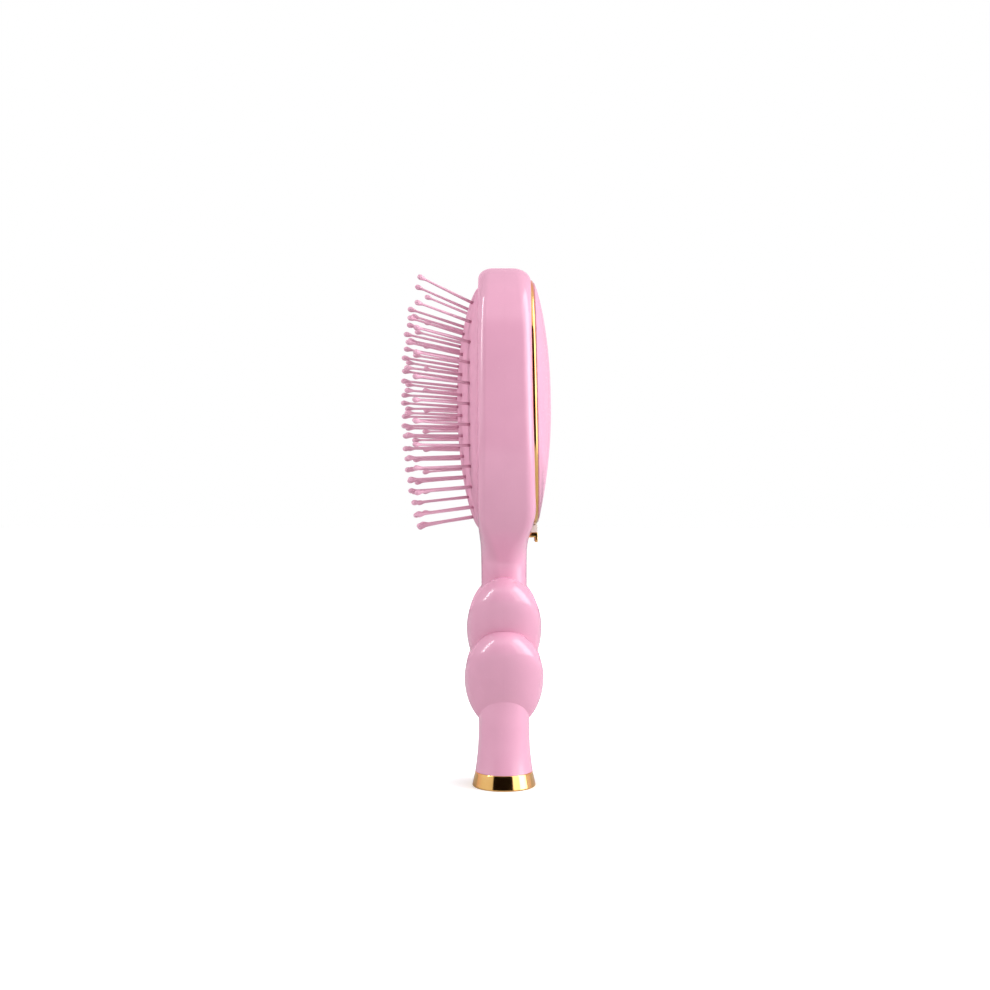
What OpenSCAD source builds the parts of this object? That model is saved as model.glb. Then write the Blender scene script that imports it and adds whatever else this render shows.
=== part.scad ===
// Cushion hair brush with a stacked handle, standing on its end cap. Z is up, -X is the pin side.
// Origin: centre of the end cap's underside. Sizes in mm.

/* [Overall] */
// Height of the handle, from the table to where the head begins
handle_length = 92; // [70:1:120]
// Length of the head above the handle
head_length = 117; // [90:1:150]
// Width of the head
head_width = 72; // [60:1:90]
// Distance of the head's front face from the handle's axis
head_front = 10.3; // [8:0.1:14]
// Rounding of the head's front edge
front_edge = 3.5; // [2.5:0.1:5]
// Rounding of the head's back edge
back_edge = 4.5; // [3:0.1:6]
// Wall thickness of the two body halves
wall = 2.2; // [1.6:0.1:3]

/* [Neck and tail] */
// Half of the neck's thickness, front to back
neck_depth = 9.2; // [7:0.1:12]
// Half of the neck's width
neck_width = 8.5; // [7:0.1:12]
// Rounding of the neck's corners
neck_edge = 8; // [5:0.1:8.3]
// Radius of the tail at its waist
tail_radius = 10.3; // [9:0.1:13]
// How much wider the tail gets at the end cap
tail_flare = 1.4; // [0.5:0.1:2.5]

/* [Handle lobes] */
// Half of the upper heart's thickness
upper_depth = 15.1; // [12:0.1:18]
// Half of the upper heart's height
upper_rise = 21.4; // [17:0.1:25]
// Half of the upper heart's width
upper_half = 19.8; // [16:0.1:23]
// Half of the lower heart's thickness
lower_depth = 16; // [12:0.1:19]
// Half of the lower heart's height
lower_rise = 21.1; // [17:0.1:25]
// Half of the lower heart's width
lower_half = 20.8; // [17:0.1:24]
// Radius of a lobe's top, seen from the front
lobe_radius = 9.1; // [7:0.1:9.5]

/* [End cap] */
// Height of the metal end cap
cap_height = 6; // [4:0.1:9]
// Radius of the end cap at its foot
cap_radius = 12.9; // [12:0.1:15]
// Rounding at the foot of the end cap
cap_round = 0.8; // [0.3:0.1:1.2]
// Radius of the plug that goes up into the tail
plug_radius = 8.3; // [6.5:0.1:9]
// Height of the plug
plug_height = 8; // [5:0.5:11]
// Wall of the plug and floor of the cap
plug_wall = 1.6; // [1.2:0.1:2.4]

/* [Cushion] */
// Front rim of the head left beside the cushion
rim_side = 5; // [4.5:0.1:7]
// Front rim left above the cushion
rim_top = 7.7; // [7:0.1:12]
// Front rim left below the cushion, up from the handle
rim_bottom = 12.5; // [10:0.1:16]
// How far the cushion bulges out of the head
cushion_rise = 8.7; // [6:0.1:11]
// Thickness of the rubber
cushion_wall = 1.8; // [1.4:0.1:2.4]
// Width of the flange that holds the cushion behind the rim
flange_width = 2.3; // [1.8:0.1:2.8]
// Thickness of the cushion's flange
flange_thick = 1.5; // [1:0.1:2]
// Thickness of the frame that clamps the flange
frame_thick = 2; // [1.5:0.1:3]
// Width of the clamping frame
frame_width = 4.4; // [4:0.1:6]

/* [Pins] */
// Free length of a pin
pin_length = 22.8; // [17:0.1:26]
// Radius of a pin's shaft
pin_radius = 0.48; // [0.4:0.01:0.6]
// Radius of the ball on a pin's tip
ball_radius = 1.05; // [0.8:0.01:1.3]
// Half of the ball's length along the pin
ball_reach = 1.3; // [0.9:0.01:1.6]
// Radius of the head on a pin's hidden end
root_radius = 1.3; // [1:0.05:1.5]
// Thickness of that head
root_thick = 0.8; // [0.5:0.05:1]
// Gap between that head and the inside of the rubber
root_gap = 0.3; // [0.2:0.05:0.5]
// Distance of the outermost pins from the cushion's edge
pin_margin = 5; // [4:0.1:7]
// Outward lean of the outermost pins in degrees
outer_lean = 24; // [10:1:30]

/* [Ring and cover] */
// Distance of the ring's outer face from the handle's axis
ring_face = 12.4; // [11:0.1:14]
// Backward lean of the ring and cover in degrees
ring_lean = 1.2; // [0:0.02:3]
// How far the ring's outer face stands off the body's back face
ring_stand = 1.25; // [1:0.05:2]
// How much deeper the ring lies in the body at its top and foot than at its middle
ring_sink = 0.4; // [0:0.05:0.6]
// Thickness of the ring's flange
ring_thick = 1.7; // [1.4:0.05:2.2]
// Depth of the ring, flange and wall together
ring_depth = 3.6; // [3:0.1:4.2]
// Thickness of the ring's wall
ring_wall = 1.2; // [1:0.1:1.5]
// How far the flange reaches past the ring's wall
ring_lip = 2.2; // [1.8:0.1:2.6]
// Body edge left beside the ring's flange
ring_side = 2.5; // [2:0.1:4]
// Body edge left above the ring's flange
ring_top = 4.7; // [4.5:0.1:8]
// Body left between the handle and the foot of the ring
ring_bottom = 14; // [13:0.1:18]
// Flange left showing round the cover
cover_inset = 1; // [0.6:0.1:1.4]
// How far the cover bulges past the ring
cover_rise = 6.2; // [4:0.1:8]
// Thickness of the cover
cover_wall = 1.8; // [1.4:0.1:2.4]
// Depth of the pocket behind the cover, from the ring's outer face
pocket_depth = 6.5; // [5.8:0.1:8]
// Thickness of the pocket's floor
floor_thick = 2; // [1.5:0.1:2.5]
// Half of the width of the tab at the ring's foot
tab_half = 5; // [3.5:0.1:7]
// Height of the pale insert in that tab
tab_insert_height = 3.2; // [2.5:0.1:4]
// Height of the metal block below the insert
tab_block = 2; // [1.5:0.1:3]
// Length of the lip below the block
tab_lip = 1.9; // [1.2:0.1:2.5]
// Depth of the tab
tab_depth = 3.8; // [3:0.1:4.2]

/* [Screws and fits] */
// Radius of a screw's shaft
screw_radius = 1.25; // [1:0.05:1.5]
// Length of a screw below its head
screw_length = 9; // [7:0.5:11]
// Radius of a screw's head
screw_head = 2.4; // [2:0.1:2.7]
// Height of a screw's head
screw_head_height = 1.6; // [1.2:0.1:1.8]
// Radius of the frame's screw posts
post_radius = 2.6; // [2.3:0.1:3]
// Radius of the pegs that line up the two halves
peg_radius = 1.7; // [1.3:0.1:2.2]
// Length of those pegs past the joint
peg_length = 3.5; // [2.5:0.1:5]
// Gap between parts that slide together
fit = 0.1; // [0.05:0.01:0.2]
// Gap round a pin in the rubber
pin_fit = 0.04; // [0.02:0.01:0.08]
// Width of a snap hook on the cover
hook_width = 6; // [4:0.5:8]
// Thickness of a snap hook
hook_thick = 1.2; // [1:0.1:1.5]

/* [Hidden] */

// Shares of the handle's length at which the two hearts have their centres
lower_share = 0.4728;
upper_share = 0.6924;
// Share of the head's length at which it is widest
mid_share = 0.5558;
// Share of a heart's height at which its lobes are widest, and how it draws in below
lobe_share = 0.79;
lobe_power = 1.4;
// Height within the lobe, as a share, where the cleft between the two lobes begins
cleft_share = 0.42;
// How much further the rounding of the head's edges reaches at its top: along the face and across it
top_spread_share = 1.15;
top_lift_share = 1.67;
// Fullness of the outlines: the head's top, its sides and the way into the neck
body_power = 2.7;
side_power = 3.6;
neck_power = 1.6;
// Fullness of the cushion at its top and foot, and of the ring
cushion_power = 3;
foot_power = 2.6;
ring_power = 2.8;
// Shares of the cushion's height: middle row, spacing of like rows, middle and reach of the fan
row_mid_share = 0.503;
row_pitch_share = 0.0829;
fan_mid_share = 0.367;
fan_reach_share = 0.589;
// Slope of the fan of pins per share of its reach, how much it curls, and how much longer its top pins are
fan_slope_share = 0.226;
fan_curl_share = 1.25;
pin_grow_share = 0.06;
// Places across the head of the four pins of a wide row, the three of a narrow one and the top row's three
wide_row_shares = [-1, -1 / 3, 1 / 3, 1];
narrow_row_shares = [-2 / 3, 0, 2 / 3];
top_row_shares = [-1, 0, 1];
// Row places in spacings from the middle row, top row first
row_step_shares = [5, 4, 3.5, 3, 2.5, 2, 1.5, 1, 0.5, 0, -0.5, -1, -1.5, -2, -2.5, -3, -3.5, -4, -4.5,
                   -5, -5.5];
// Shares of the radius at which the domes are cut into bands
band_shares = [1, 0.985, 0.95, 0.89, 0.79, 0.65, 0.48, 0.3, 0.13];
// Angles round the outline at which screws and hooks stand
screw_angles = [38, 142, 218, 322];
hook_angles = [0, 90, 180, 270];
// Bulge exponents of the cushion, and of the cover at its foot, sides and top
cushion_bulge = 0.7;
cover_bulges = [1, 0.75, 0.8];

brush_height = handle_length + head_length;
head_mid = handle_length + head_length * mid_share;
head_up = brush_height - head_mid;
neck_top = handle_length - neck_width * 0.24;
half = head_width / 2;
reach = brush_height * 2;
cushion_half = half - rim_side;
cushion_up = head_up - rim_top;
cushion_down = head_mid - handle_length - rim_bottom;
cushion_foot = head_mid - cushion_down;
cushion_tall = cushion_up + cushion_down;
row_pitch = cushion_tall * row_pitch_share;
row_mid = cushion_foot + cushion_tall * row_mid_share;
ring_half = half - ring_side;
ring_up = head_up - ring_top;
ring_down = head_mid - handle_length - ring_bottom;
front_inside = head_front - wall;
flange_back = front_inside - flange_thick;
frame_back = flange_back - frame_thick;
upper_z = handle_length * upper_share;
lower_z = handle_length * lower_share;
neck_end = upper_z;
tail_top = cap_height + (lower_z - cap_height) * 0.92;
flare_top = cap_height + (lower_z - cap_height) * 0.48;
screw_in = frame_width * 0.7 + rim_side * 0.06;
round_steps = 4;
outline_steps = 48;
lobe_sides = 28;
lobe_bands = 14;

function smooth(t) = let (c = min(1, max(0, t))) c * c * (3 - 2 * c);
function mix(a, b, t) = a + (b - a) * t;
function pw(v, p) = v <= 0 ? 0 : pow(v, p);
function sg(v) = v < 0 ? -1 : 1;

// A closed outline round the origin: half-width along y, reach along +x and -x, fullness on either side
function outline_point(w, plus, minus, n, a) =
    let (c = cos(a), s = sin(a), p = 2 / (c < 0 ? n[1] : n[0]))
    [(c < 0 ? minus : plus) * sg(c) * pw(abs(c), p), w * sg(s) * pw(abs(s), p)];
function outline(w, plus, minus, n) =
    [for (i = [0 : outline_steps - 1]) outline_point(w, plus, minus, n, i * 360 / outline_steps)];

// Height of the cushion's dome above the head's front face
function cushion_power_at(z) = z > head_mid ? cushion_power : foot_power;
function dome_share(y, z) =
    let (l = z > head_mid ? cushion_up : cushion_down, n = cushion_power_at(z))
    pw(pw(abs(y) / cushion_half, n) + pw(abs(z - head_mid) / l, n), 2 / n);
function dome_height(y, z) = cushion_rise * pw(1 - dome_share(y, z), cushion_bulge);
function cushion_half_at(z) =
    let (l = z > head_mid ? cushion_up : cushion_down, n = cushion_power_at(z))
    cushion_half * pw(1 - pw(abs(z - head_mid) / l, n), 1 / n);

// Half-width of the body at a height below the head's middle
function body_half(z) =
    let (t = min(1, max(0, (z - neck_top) / (head_mid - neck_top))))
    neck_width + (half - neck_width) * pw(1 - pw(1 - t, side_power), neck_power);

// Front and back faces of the body at a height
function body_front(z) =
    mix(neck_depth, head_front, smooth((z - handle_length + neck_width * 0.5) / (neck_width * 1.9)));
function ring_plane(z) = ring_face - tan(ring_lean) * (z - head_mid);
function body_back(z) =
    mix(neck_depth, ring_plane(z) - ring_stand + ring_sink * pow((z - head_mid) / ring_up, 2),
        smooth((z - handle_length + neck_width * 0.24) / (neck_width * 2.6)));
function edge_at(z, e) = mix(neck_edge, e, smooth((z - handle_length) / (neck_width * 2)));

// The body's outline from its top down the left side to the end of the neck, as [y, z]
edge_points = concat(
    [for (i = [0 : 12]) let (a = i * 7.5)
        [-half * pw(sin(a), 2 / body_power), head_mid + head_up * pw(cos(a), 2 / body_power)]],
    [for (i = [1 : 18]) let (t = i / 18, z = mix(head_mid, neck_top, t * (1.25 - 0.25 * t)))
        [-body_half(z), z]],
    [for (i = [1 : 3]) let (z = mix(neck_top, neck_end, i / 3)) [-body_half(z), z]]);
edge_last = len(edge_points) - 1;
function edge_normal(i) =
    i == 0 ? [0, 1] : i == edge_last ? [-1, 0] :
    let (d = edge_points[i + 1] - edge_points[i - 1], l = norm(d)) [d[1], -d[0]] / l;

// One point of the rounded slab: outline point i, section step j from front to back
function slab_point(i, j, off, side) =
    let (
        p = edge_points[i], n = edge_normal(i), z = p[1],
        front = j <= round_steps,
        a = 90 * (front ? j : 2 * round_steps + 1 - j) / round_steps,
        r = max(0.3, edge_at(z, front ? front_edge : back_edge) - off),
        top = pow(max(0, n[1]), 2),
        q = p - n * (off + r * mix(1, top_spread_share, top) * (1 - sin(a))),
        lift = r * mix(1, top_lift_share, top) * (1 - cos(a)),
        x = front ? -(body_front(z) - off) + lift : body_back(z) - off - lift
    )
    [x, min(0, q[0]) * side, q[1]];
function quad(a, b, c, d) = [[a, b, c], [a, c, d]];

// Head and neck as one slab with rounded edges, made smaller all round by off
module slab(off) {
    m = 2 * edge_last + 1;
    rings = 2 * round_steps + 2;
    points = [for (j = [0 : rings - 1]) each concat(
        [for (i = [0 : edge_last]) slab_point(i, j, off, 1)],
        [for (i = [edge_last : -1 : 1]) slab_point(i, j, off, -1)])];
    back = (rings - 1) * m;
    sides = [for (j = [0 : rings - 2], i = [0 : m - 1])
        each quad(j * m + i, (j + 1) * m + i, (j + 1) * m + (i + 1) % m, j * m + (i + 1) % m)];
    caps = [for (i = [1 : edge_last - 1]) each concat(
        quad(i, i + 1, m - i - 1, m - i),
        quad(back + i, back + m - i, back + m - i - 1, back + i + 1))];
    tips = [[0, 1, m - 1], [back, back + m - 1, back + 1]];
    polyhedron(points = points, faces = concat(sides, caps, tips));
}

// A closed skin over rings of points, with a point at either end
module skin(rings, first, last) {
    n = len(rings[0]);
    k = len(rings);
    points = concat([first], [for (r = rings) each r], [last]);
    end = k * n + 1;
    polyhedron(points = points, faces = concat(
        [for (i = [0 : n - 1]) [0, 1 + i, 1 + (i + 1) % n]],
        [for (j = [0 : k - 2], i = [0 : n - 1]) each quad(
            1 + j * n + i, 1 + (j + 1) * n + i, 1 + (j + 1) * n + (i + 1) % n, 1 + j * n + (i + 1) % n)],
        [for (i = [0 : n - 1]) [end, 1 + (k - 1) * n + (i + 1) % n, 1 + (k - 1) * n + i]]));
}

// One lobe of a heart: ellipses stacked along z, round at the top and drawn in to the heart's point
module lobe(z0, depth, rise, width, side, off) {
    a = depth - off;
    c = rise - off;
    w = width - off;
    r = lobe_radius - off;
    rings = [for (k = [1 : lobe_bands - 1])
        let (t = -90 + 180 * k / lobe_bands, s = (1 + sin(t)) / 2, u = min(1, s / lobe_share),
             v = max(0, (s - lobe_share) / (1 - lobe_share)),
             out = w * (1 - pw(1 - u, lobe_power)),
             b = out * mix(1, r / w, smooth(max(0, (u - cleft_share) / (1 - cleft_share)))) * sqrt(1 - v * v),
             y = side * (s > lobe_share ? w - r : out - b))
        [for (i = [0 : lobe_sides - 1]) let (g = i * 360 / lobe_sides)
            [a * cos(t) * cos(g), y + b * sin(g), z0 + c * sin(t)]]];
    skin(rings, [0, 0, z0 - c], [0, side * (w - r), z0 + c]);
}

module hearts(off) {
    for (side = [-1, 1]) {
        lobe(upper_z, upper_depth, upper_rise, upper_half, side, off);
        lobe(lower_z, lower_depth, lower_rise, lower_half, side, off);
    }
}

module tail() {
    steps = 8;
    rotate_extrude($fn = 56)
        polygon(concat(
            [[0, cap_height]],
            [for (i = [0 : steps]) let (t = i / steps)
                [tail_radius + tail_flare * pow(1 - t, 2), mix(cap_height, flare_top, t)]],
            [[tail_radius, tail_top], [0, tail_top]]));
}

module body_outer() {
    slab(0);
    hearts(0);
    tail();
}

module body_inner() {
    slab(wall);
    hearts(wall);
    translate([0, 0, cap_height + plug_height])
        cylinder(r = tail_radius - wall, h = tail_top - cap_height - plug_height, $fn = 40);
}

// Local frames: the front one looks along -X with its x up, the back one along the ring's face with x down
module front_frame() {
    translate([0, 0, head_mid]) rotate([0, -90, 0]) children();
}

module back_frame() {
    translate([ring_face, 0, head_mid]) rotate([0, 90 - ring_lean, 0]) children();
}

module front_prism(grow, from, to) {
    front_frame() translate([0, 0, from]) linear_extrude(height = to - from)
        polygon(outline(cushion_half + grow, cushion_up + grow, cushion_down + grow,
                        [cushion_power, foot_power]));
}

module back_prism(grow, from, to) {
    translate([0, 0, from]) linear_extrude(height = to - from)
        polygon(outline(ring_half + grow, ring_down + grow, ring_up + grow, [ring_power, ring_power]));
}

// Places of the pegs that line up the two halves: heights and how deep the shell lies there
peg_places = [[lower_z, lower_depth], [upper_z, upper_depth], [handle_length, neck_depth]];

module peg_posts(side) {
    for (p = peg_places) {
        // The post, with draft
        hull() {
            translate([0, 0, p[0]]) rotate([0, side * 90, 0])
                cylinder(r = peg_radius + wall * 0.7, h = fit, $fn = 24);
            translate([side * (p[1] - wall), 0, p[0]]) rotate([0, side * 90, 0])
                cylinder(r = peg_radius + wall, h = wall / 2, $fn = 24);
        }
        // Its two gussets
        for (s = [-1, 1])
            hull() {
                translate([side * wall, 0, p[0] + s * peg_radius])
                    cube([wall / 2, wall * 0.6, wall / 2], center = true);
                translate([side * (p[1] - wall * 1.2), 0, p[0] + s * peg_radius * 2.6])
                    cube([wall, wall * 0.6, peg_radius * 2], center = true);
            }
    }
}

module pegs(extra) {
    for (p = peg_places)
        translate([-wall, 0, p[0]]) rotate([0, 90, 0])
            cylinder(r = peg_radius + extra, h = wall + peg_length + extra * 2, $fn = 24);
}

module plug_bore() {
    translate([0, 0, cap_height - wall])
        cylinder(r = plug_radius + fit, h = wall + plug_height + fit, $fn = 56);
}

module front_half() {
    color("HotPink") difference() {
        union() {
            intersection() {
                body_outer();
                union() {
                    difference() {
                        translate([-reach, -reach / 2, -reach / 4]) cube(reach);
                        body_inner();
                    }
                    peg_posts(-1);
                }
            }
            pegs(0);
        }
        // Cushion opening and the seat of its flange
        front_prism(0, 0, reach / 4);
        front_prism(flange_width + fit * 2, 0, front_inside);
        plug_bore();
    }
}

module back_half() {
    color("Pink") difference() {
        intersection() {
            body_outer();
            union() {
                difference() {
                    translate([0, -reach / 2, -reach / 4]) cube(reach);
                    body_inner();
                }
                peg_posts(1);
                // Pocket behind the cover: floor and wall
                back_frame() {
                    back_prism(ring_lip, -pocket_depth - floor_thick, -pocket_depth);
                    back_prism(fit - ring_lip + wall * 1.4, -pocket_depth, ring_thick);
                }
                // Rib that presses on the clamping frame
                difference() {
                    front_prism(flange_width - wall * 0.2, -ring_face + pocket_depth * 0.9, frame_back);
                    front_prism(0, -ring_face + pocket_depth, reach / 4);
                }
            }
        }
        back_frame() {
            back_prism(fit - ring_lip, -pocket_depth, reach / 4);
            // Seat of the ring's flange
            back_prism(fit, -ring_thick - fit / 2, reach / 4);
            // Seat of the ring's tab
            translate([ring_down - wall, -tab_half - fit * 2, -tab_depth - fit])
                cube([wall * 2 + tab_insert_height + tab_block + tab_lip, 2 * (tab_half + fit * 2), reach / 8]);
            screw_places() cylinder(r = screw_radius + fit * 2, h = reach / 8, center = true, $fn = 24);
            hook_places()
                translate([-hook_thick * 3, -hook_width / 2 - fit * 4, -pocket_depth - floor_thick * 2])
                cube([hook_thick * 3 + fit * 2, hook_width + fit * 8, floor_thick * 4]);
        }
        pegs(fit);
        plug_bore();
    }
}

// Screw places in the back frame, and hook places with x turned outward
module screw_places() {
    for (a = screw_angles)
        translate(concat(screw_point(a), [0])) children();
}

function screw_point(a) =
    outline_point(cushion_half - screw_in, cushion_down - screw_in, cushion_up - screw_in,
                  [foot_power, cushion_power], a);

function hook_point(a) =
    let (g = -ring_lip - ring_wall - fit * 2 - hook_thick)
    outline_point(ring_half + g, ring_down + g, ring_up + g, [ring_power, ring_power], a);

module hook_places() {
    for (a = hook_angles)
        translate(concat(hook_point(a), [0])) rotate([0, 0, a]) children();
}

module cushion() {
    w = cushion_half - fit * 2;
    up = cushion_up - fit * 2;
    down = cushion_down - fit * 2;
    powers = [cushion_power, foot_power];
    bulges = [cushion_bulge, cushion_bulge, cushion_bulge];
    color("LightPink") difference() {
        union() {
            front_frame() dome(w, up, down, powers, cushion_rise, head_front, flange_back, bulges);
            front_prism(flange_width, flange_back, front_inside);
        }
        front_frame() dome(w - cushion_wall, up - cushion_wall, down - cushion_wall, powers, cushion_rise,
                           head_front - cushion_wall, flange_back - cushion_wall, bulges);
        // Pin holes
        for (k = [0 : 20])
            for (s = row_shares(k))
                pin_frame(pin_place(k, s)) translate([0, 0, -cushion_wall * 3])
                    cylinder(r = pin_radius + pin_fit, h = cushion_wall * 5, $fn = 24);
    }
}

// A dome on a straight skirt: base at height foot, edge at height edge, rising by rise
module dome(w, plus, minus, n, rise, edge, foot, bulges) {
    rings = concat(
        [[for (p = outline(w, plus, minus, n)) [p[0], p[1], foot]]],
        [for (f = band_shares)
            [for (i = [0 : outline_steps - 1])
                let (a = i * 360 / outline_steps, p = outline_point(w, plus, minus, n, a), c = cos(a),
                     b = mix(bulges[1], c > 0 ? bulges[0] : bulges[2], c * c))
                [p[0] * f, p[1] * f, edge + rise * pw(1 - f * f, b)]]]);
    skin(rings, [0, 0, foot], [0, 0, edge + rise]);
}

module cushion_frame() {
    color("DimGray") difference() {
        union() {
            front_prism(flange_width, frame_back, flange_back);
            frame_posts(0);
        }
        front_prism(rim_side * 0.44 - frame_width, frame_back - floor_thick, flange_back + floor_thick);
        back_frame() screw_places()
            translate([0, 0, -pocket_depth - floor_thick - screw_length - fit])
                cylinder(r = screw_radius + fit / 2, h = screw_length + floor_thick + fit * 2, $fn = 24);
    }
    // The posts again inside the ring's opening, so the ring's cut doesn't shorten them
    color("DimGray") difference() {
        frame_posts(frame_thick * 0.5);
        back_frame() screw_places()
            translate([0, 0, -pocket_depth - floor_thick - screw_length - fit])
                cylinder(r = screw_radius + fit / 2, h = screw_length + floor_thick + fit * 2, $fn = 24);
    }
}

// Screw posts from the frame's plate back to the pocket's floor
module frame_posts(lift) {
    back_frame() for (a = screw_angles) {
        p = screw_point(a);
        low = (-frame_back - ring_face - frame_thick * 0.5) * cos(ring_lean) - p[0] * sin(ring_lean);
        translate([p[0], p[1], low + lift])
            cylinder(r = post_radius, h = -pocket_depth - floor_thick - fit / 2 - low - lift);
    }
}

module frame_screws() {
    color("Silver") back_frame() screw_places() translate([0, 0, -pocket_depth]) difference() {
        union() {
            cylinder(r = screw_head, h = screw_head_height);
            translate([0, 0, -screw_length])
                cylinder(r = screw_radius, h = screw_length + screw_head_height / 2);
        }
        // Cross recess
        for (a = [0, 90])
            rotate([0, 0, a]) translate([-screw_head * 0.55, -screw_head * 0.14, screw_head_height * 0.45])
                cube([screw_head * 1.1, screw_head * 0.28, screw_head_height]);
    }
}

module trim_ring() {
    block = ring_down + tab_insert_height + tab_block;
    color("Gold") back_frame() difference() {
        union() {
            back_prism(0, -ring_thick, 0);
            back_prism(-ring_lip, -ring_depth, -ring_thick);
            // Tongue, block and lip of the tab
            translate([ring_down - ring_lip - ring_wall, -tab_half / 2, -tab_depth * 0.7])
                cube([ring_lip + ring_wall + tab_insert_height + tab_block / 2, tab_half, tab_depth * 0.4]);
            translate([block - tab_block, -tab_half, -tab_depth]) cube([tab_block, 2 * tab_half, tab_depth]);
            translate([block - tab_block / 2, -tab_half, -ring_thick * 0.7])
                cube([tab_block / 2 + tab_lip, 2 * tab_half, ring_thick * 0.7]);
        }
        back_prism(-ring_lip - ring_wall, -ring_depth - wall, wall);
    }
}

module tab_insert() {
    color("Gainsboro") back_frame() difference() {
        translate([ring_down + fit / 2, -tab_half, -tab_depth])
            cube([tab_insert_height - fit, 2 * tab_half, tab_depth]);
        translate([ring_down - wall, -tab_half / 2 - fit / 2, -tab_depth * 0.7 - fit / 2])
            cube([tab_insert_height + wall * 2, tab_half + fit, tab_depth * 0.4 + fit]);
    }
}

module back_cover() {
    g = -cover_inset;
    hook_foot = -pocket_depth - floor_thick - hook_thick;
    s = -ring_lip - ring_wall - fit;
    color("Pink") back_frame() {
        difference() {
            union() {
                dome(ring_half + g, ring_down + g, ring_up + g, [ring_power, ring_power], cover_rise,
                     ring_thick * 0.2, 0, cover_bulges);
                back_prism(s, -ring_depth, ring_thick * 0.1);
            }
            dome(ring_half + s - cover_wall, ring_down + s - cover_wall, ring_up + s - cover_wall,
                 [ring_power, ring_power], cover_rise - cover_wall * 0.8, 0, -ring_depth - wall, cover_bulges);
        }
        // Snap hooks: a stem and a barb each
        hook_places() {
            hull() {
                translate([-hook_thick, -hook_width / 2, -ring_depth * 0.6]) cube([hook_thick, hook_width, wall]);
                translate([-hook_thick, -hook_width / 2 * 0.9, hook_foot])
                    cube([hook_thick, hook_width * 0.9, hook_thick]);
            }
            hull() {
                translate([-hook_thick, -hook_width / 2 * 0.9, hook_foot - hook_thick * 0.6])
                    cube([hook_thick, hook_width * 0.9, hook_thick * 0.6]);
                translate([-hook_thick, -hook_width / 2 * 0.9, hook_foot + hook_thick * 0.4])
                    cube([hook_thick * 1.7, hook_width * 0.9, hook_thick * 0.4]);
            }
        }
    }
}

module end_cap() {
    color("Gold") rotate_extrude($fn = 96) polygon([
        [0, 0], [cap_radius - cap_round, 0], [cap_radius - cap_round * 0.3, cap_round * 0.3],
        [cap_radius, cap_round], [tail_radius + tail_flare, cap_height], [plug_radius, cap_height],
        [plug_radius, cap_height + plug_height], [plug_radius - plug_wall, cap_height + plug_height],
        [plug_radius - plug_wall, plug_wall * 1.2], [0, plug_wall * 1.2]]);
}

function row_shares(k) =
    k == 0 ? top_row_shares : round(row_step_shares[k] * 2) % 2 == 0 ? wide_row_shares : narrow_row_shares;
function row_height(k) = row_mid + row_step_shares[k] * row_pitch;
// A row's place in the fan, from below zero at the foot to one at the top
function fan_place(k) =
    (row_height(k) - cushion_foot - fan_mid_share * cushion_tall) / (fan_reach_share * cushion_tall);
function pin_tall(k) = pin_length * (1 + pin_grow_share * pw(fan_place(k), 3));

// A pin's place: its point on the rubber and its direction
function pin_place(k, share) =
    let (z = row_height(k),
         y = share * (cushion_half_at(z) - pin_margin),
         u = fan_place(k),
         d = [-1, tan(outer_lean * y / (cushion_half - pin_margin)),
              fan_slope_share * (u + fan_curl_share * u * u * u)])
    [[-head_front - dome_height(y, z), y, z], d / norm(d)];

// How far a point lies behind the rubber's inner face
function inner_room(p) =
    let (l = (p[2] > head_mid ? cushion_up : cushion_down) - fit * 2 - cushion_wall,
         w = cushion_half - fit * 2 - cushion_wall, n = cushion_power_at(p[2]),
         share = pw(pw(abs(p[1]) / w, n) + pw(abs(p[2] - head_mid) / l, n), 2 / n))
    p[0] + head_front - cushion_wall + cushion_rise * pw(1 - share, cushion_bulge);
// Depth along a pin at which the head on its hidden end lies clear of the rubber all round
function root_depth(place, depth) =
    let (c = place[0] - place[1] * depth, side = [0, sg(c[1]) * root_radius, 0],
         up = [0, 0, sg(c[2] - head_mid) * root_radius])
    min(inner_room(c), inner_room(c + side), inner_room(c + up), inner_room(c + (side + up) * sin(45)))
        > root_gap * 1.6 ? depth : root_depth(place, depth + root_gap / 3);

module pin_frame(place) {
    d = place[1];
    translate(place[0]) rotate([0, acos(d[2]), atan2(d[1], d[0])]) children();
}

module pin(tall, depth) {
    low = -depth - root_thick;
    middle = tall - ball_reach;
    first = -acos(pin_radius / ball_radius);
    rotate_extrude($fn = 24) polygon(concat(
        [[0, low], [root_radius, low], [root_radius, low + root_thick], [pin_radius, low + root_thick]],
        [for (i = [0 : 6]) let (a = mix(first, 75, i / 6))
            [ball_radius * cos(a), middle + ball_reach * sin(a)]],
        [[0, middle + ball_reach]]));
}

module pin_row(k) {
    color("Plum") for (s = row_shares(k))
        pin_frame(pin_place(k, s)) pin(pin_tall(k), root_depth(pin_place(k, s), cushion_wall + root_gap));
}

front_half();
back_half();
cushion();
cushion_frame();
frame_screws();
trim_ring();
tab_insert();
back_cover();
end_cap();
pin_row(0);  // pin_row_01
pin_row(1);  // pin_row_02
pin_row(2);  // pin_row_03
pin_row(3);  // pin_row_04
pin_row(4);  // pin_row_05
pin_row(5);  // pin_row_06
pin_row(6);  // pin_row_07
pin_row(7);  // pin_row_08
pin_row(8);  // pin_row_09
pin_row(9);  // pin_row_10
pin_row(10);  // pin_row_11
pin_row(11);  // pin_row_12
pin_row(12);  // pin_row_13
pin_row(13);  // pin_row_14
pin_row(14);  // pin_row_15
pin_row(15);  // pin_row_16
pin_row(16);  // pin_row_17
pin_row(17);  // pin_row_18
pin_row(18);  // pin_row_19
pin_row(19);  // pin_row_20
pin_row(20);  // pin_row_21
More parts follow.
